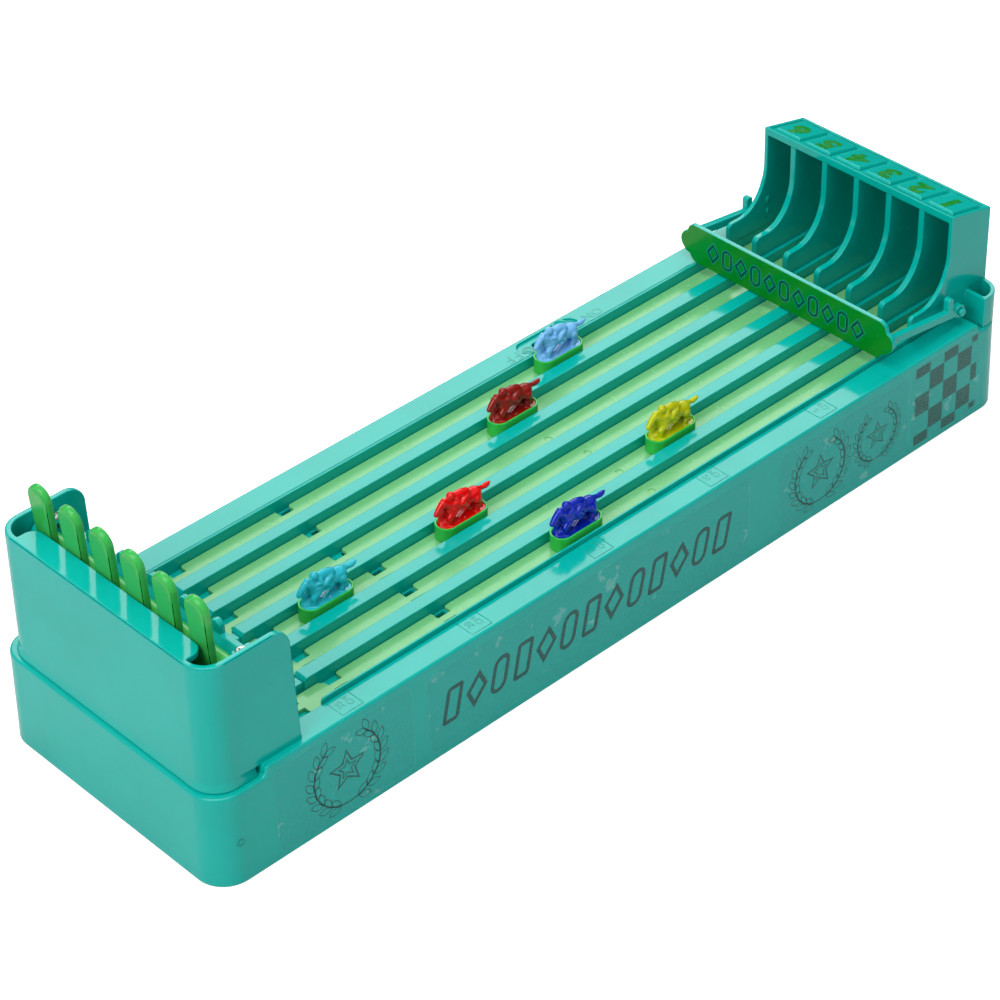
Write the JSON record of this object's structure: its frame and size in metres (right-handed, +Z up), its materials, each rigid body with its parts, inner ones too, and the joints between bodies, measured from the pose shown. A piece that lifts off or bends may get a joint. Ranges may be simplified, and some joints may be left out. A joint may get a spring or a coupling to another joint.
{
  "type": "tabletop lane racing game",
  "caption": "Tabletop horse race game: long base with sliding strips in lanes, finger levers at one end, numbered stalls with a swing-up gate bar at the other.",
  "frame": {"origin": "middle of the base's footprint, on the table", "axes": "+X along the track from the levers to the starting gate, +Y across the lanes towards the switch side, +Z up"},
  "size_m": [0.34, 0.1008, 0.0941],
  "materials": {
    "teal": "glossy moulded plastic",
    "green": "glossy moulded plastic",
    "green_light": "glossy moulded plastic",
    "sign_green": "printed film",
    "steel": "bright zinc",
    "blue": "glossy",
    "yellow": "glossy",
    "cyan": "glossy",
    "red": "glossy",
    "maroon": "glossy",
    "light_blue": "glossy"
  },
  "bodies": {
    "frame": {"base_shell": "teal", "bottom_cover": "teal", "battery_door": "teal", "cover_screws": "steel", "track_floor": "teal", "lane_dividers": "teal", "track_lips": "teal", "lever_housing": "teal", "lever_bracket": "teal", "lever_axle": "steel", "bracket_screws": "steel", "gate_housing": "teal", "gate_dividers": "teal", "number_plates": "teal", "pocket_screws": "steel", "gate_pins": "teal"},
    "lever_body_1": {"lever_1": "green_light"},
    "strip_body_1": {"drive_strip_1": "green"},
    "lever_body_2": {"lever_2": "green_light"},
    "strip_body_2": {"drive_strip_2": "green"},
    "lever_body_3": {"lever_3": "green_light"},
    "strip_body_3": {"drive_strip_3": "green"},
    "lever_body_4": {"lever_4": "green_light"},
    "strip_body_4": {"drive_strip_4": "green"},
    "lever_body_5": {"lever_5": "green_light"},
    "strip_body_5": {"drive_strip_5": "green"},
    "lever_body_6": {"lever_6": "green_light"},
    "strip_body_6": {"drive_strip_6": "green"},
    "horse_dark_blue": {"horse_tub_dark_blue": "green", "horse_figure_dark_blue": "blue"},
    "horse_yellow": {"horse_tub_yellow": "green", "horse_figure_yellow": "yellow"},
    "horse_cyan": {"horse_tub_cyan": "green", "horse_figure_cyan": "cyan"},
    "horse_red": {"horse_tub_red": "green", "horse_figure_red": "red"},
    "horse_maroon": {"horse_tub_maroon": "green", "horse_figure_maroon": "maroon"},
    "horse_light_blue": {"horse_tub_light_blue": "green", "horse_figure_light_blue": "light_blue"},
    "gate_bar": {"gate_bar": "teal", "sign_face": "sign_green"},
    "switch": {"switch_knob": "teal"}
  },
  "joints": [
    {"name": "lever_1_pivot", "type": "hinge", "parent": "frame", "child": "lever_body_1", "pos_m": [-0.1525, -0.035, 0.0685], "axis": [0, 1, 0], "range_deg": [0, 14]},
    {"name": "strip_1_slide", "type": "slide", "parent": "frame", "child": "strip_body_1", "axis": [-1, 0, 0], "range_m": [0, 0.0085], "stiffness_N_per_m": 16, "springref_m": -0.01},
    {"name": "lever_2_pivot", "type": "hinge", "parent": "frame", "child": "lever_body_2", "pos_m": [-0.1525, -0.021, 0.0685], "axis": [0, 1, 0], "range_deg": [0, 14]},
    {"name": "strip_2_slide", "type": "slide", "parent": "frame", "child": "strip_body_2", "axis": [-1, 0, 0], "range_m": [0, 0.0085], "stiffness_N_per_m": 16, "springref_m": -0.01},
    {"name": "lever_3_pivot", "type": "hinge", "parent": "frame", "child": "lever_body_3", "pos_m": [-0.1525, -0.007, 0.0685], "axis": [0, 1, 0], "range_deg": [0, 14]},
    {"name": "strip_3_slide", "type": "slide", "parent": "frame", "child": "strip_body_3", "axis": [-1, 0, 0], "range_m": [0, 0.0085], "stiffness_N_per_m": 16, "springref_m": -0.01},
    {"name": "lever_4_pivot", "type": "hinge", "parent": "frame", "child": "lever_body_4", "pos_m": [-0.1525, 0.007, 0.0685], "axis": [0, 1, 0], "range_deg": [0, 14]},
    {"name": "strip_4_slide", "type": "slide", "parent": "frame", "child": "strip_body_4", "axis": [-1, 0, 0], "range_m": [0, 0.0085], "stiffness_N_per_m": 16, "springref_m": -0.01},
    {"name": "lever_5_pivot", "type": "hinge", "parent": "frame", "child": "lever_body_5", "pos_m": [-0.1525, 0.021, 0.0685], "axis": [0, 1, 0], "range_deg": [0, 14]},
    {"name": "strip_5_slide", "type": "slide", "parent": "frame", "child": "strip_body_5", "axis": [-1, 0, 0], "range_m": [0, 0.0085], "stiffness_N_per_m": 16, "springref_m": -0.01},
    {"name": "lever_6_pivot", "type": "hinge", "parent": "frame", "child": "lever_body_6", "pos_m": [-0.1525, 0.035, 0.0685], "axis": [0, 1, 0], "range_deg": [0, 14]},
    {"name": "strip_6_slide", "type": "slide", "parent": "frame", "child": "strip_body_6", "axis": [-1, 0, 0], "range_m": [0, 0.0085], "stiffness_N_per_m": 16, "springref_m": -0.01},
    {"name": "horse_dark_blue_slide", "type": "slide", "parent": "frame", "child": "horse_dark_blue", "axis": [-1, 0, 0], "range_m": [-0.118, 0.095]},
    {"name": "horse_yellow_slide", "type": "slide", "parent": "frame", "child": "horse_yellow", "axis": [-1, 0, 0], "range_m": [-0.0626, 0.1504]},
    {"name": "horse_cyan_slide", "type": "slide", "parent": "frame", "child": "horse_cyan", "axis": [-1, 0, 0], "range_m": [-0.0147, 0.0193]},
    {"name": "horse_red_slide", "type": "slide", "parent": "frame", "child": "horse_red", "axis": [-1, 0, 0], "range_m": [-0.1393, 0.0137]},
    {"name": "horse_maroon_slide", "type": "slide", "parent": "frame", "child": "horse_maroon", "axis": [-1, 0, 0], "range_m": [-0.091, 0.122]},
    {"name": "horse_light_blue_slide", "type": "slide", "parent": "frame", "child": "horse_light_blue", "axis": [-1, 0, 0], "range_m": [-0.057, 0.156]},
    {"name": "gate_bar_hinge", "type": "hinge", "parent": "frame", "child": "gate_bar", "pos_m": [0.151, 0, 0.0412], "axis": [0, 1, 0], "range_deg": [0, 60]},
    {"name": "switch_slide", "type": "slide", "parent": "frame", "child": "switch", "axis": [-1, 0, 0], "range_m": [0, 0.011]}
  ],
  "couplings": [
    {"joint": "lever_1_pivot", "follows": "strip_1_slide", "rad_per_m": 28.736},
    {"joint": "lever_2_pivot", "follows": "strip_2_slide", "rad_per_m": 28.736},
    {"joint": "lever_3_pivot", "follows": "strip_3_slide", "rad_per_m": 28.736},
    {"joint": "lever_4_pivot", "follows": "strip_4_slide", "rad_per_m": 28.736},
    {"joint": "lever_5_pivot", "follows": "strip_5_slide", "rad_per_m": 28.736},
    {"joint": "lever_6_pivot", "follows": "strip_6_slide", "rad_per_m": 28.736}
  ]
}
